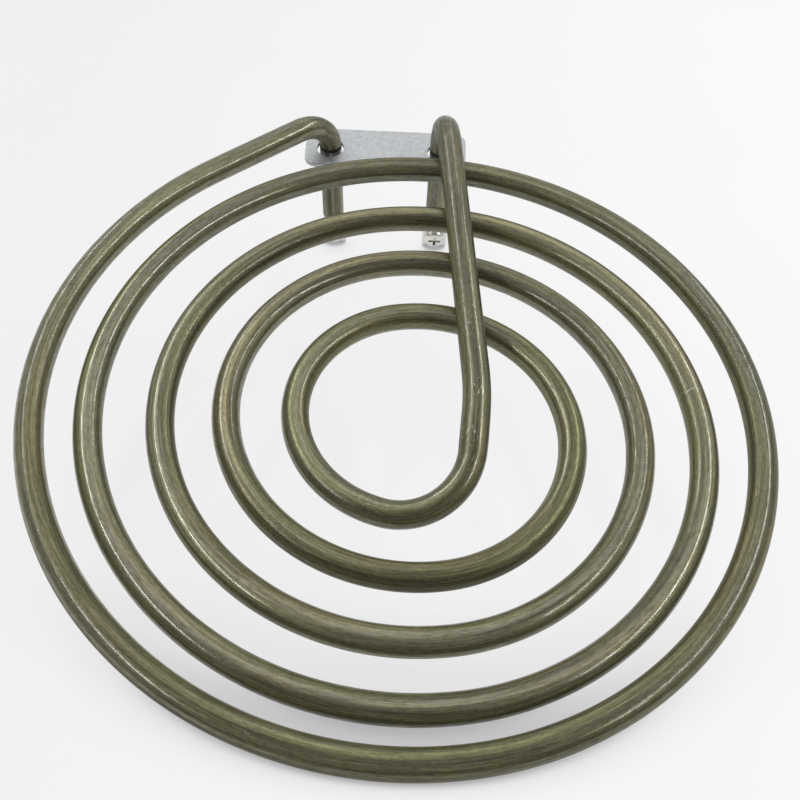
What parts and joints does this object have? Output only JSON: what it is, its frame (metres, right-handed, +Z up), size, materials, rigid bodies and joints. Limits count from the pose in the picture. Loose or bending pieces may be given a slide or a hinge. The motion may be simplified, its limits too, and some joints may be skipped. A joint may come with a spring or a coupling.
{
  "type": "tubular heating element",
  "caption": "Sheathed electric heating tube wound into a flat open spiral, with both ends bent down through a bracket plate to screw terminals.",
  "frame": {"origin": "on the underside of the bracket plate, midway between the two legs", "axes": "+Z up out of the plate towards the spiral, X along the line of the two legs, the spiral on the -Y side, terminals facing -Y"},
  "size_m": [0.2143, 0.233, 0.076],
  "materials": {
    "sheath_steel": "drawn stainless tube, oxide-tinted grey with fine lengthwise streaks and scuffs",
    "galvanised_plate": "galvanised sheet, pale blue-grey, faint spangle",
    "plated_terminal": "tin-plated, bright satin",
    "plated_screw": "zinc-plated, bright",
    "pin_steel": "plain drawn steel",
    "bead_ceramic": "unglazed steatite, cream white",
    "seal_rubber": "cured silicone, matt red-brown",
    "packed_magnesia": "compacted powder, matt off-white",
    "resistance_wire": "nickel-chromium wire, dull"
  },
  "bodies": {
    "root": {"heater_sheath": "sheath_steel", "mounting_bracket": "galvanised_plate", "ceramic_bead_left": "bead_ceramic", "end_seal_left": "seal_rubber", "magnesia_core_left": "packed_magnesia", "resistance_coil_left": "resistance_wire", "cold_pin_left": "pin_steel", "terminal_tab_left": "plated_terminal", "clamp_washer_left": "plated_terminal", "terminal_screw_left": "plated_screw", "terminal_nut_left": "plated_screw", "ceramic_bead_right": "bead_ceramic", "end_seal_right": "seal_rubber", "magnesia_core_right": "packed_magnesia", "resistance_coil_right": "resistance_wire", "cold_pin_right": "pin_steel", "terminal_tab_right": "plated_terminal", "clamp_washer_right": "plated_terminal", "terminal_screw_right": "plated_screw", "terminal_nut_right": "plated_screw"}
  },
  "joints": []
}
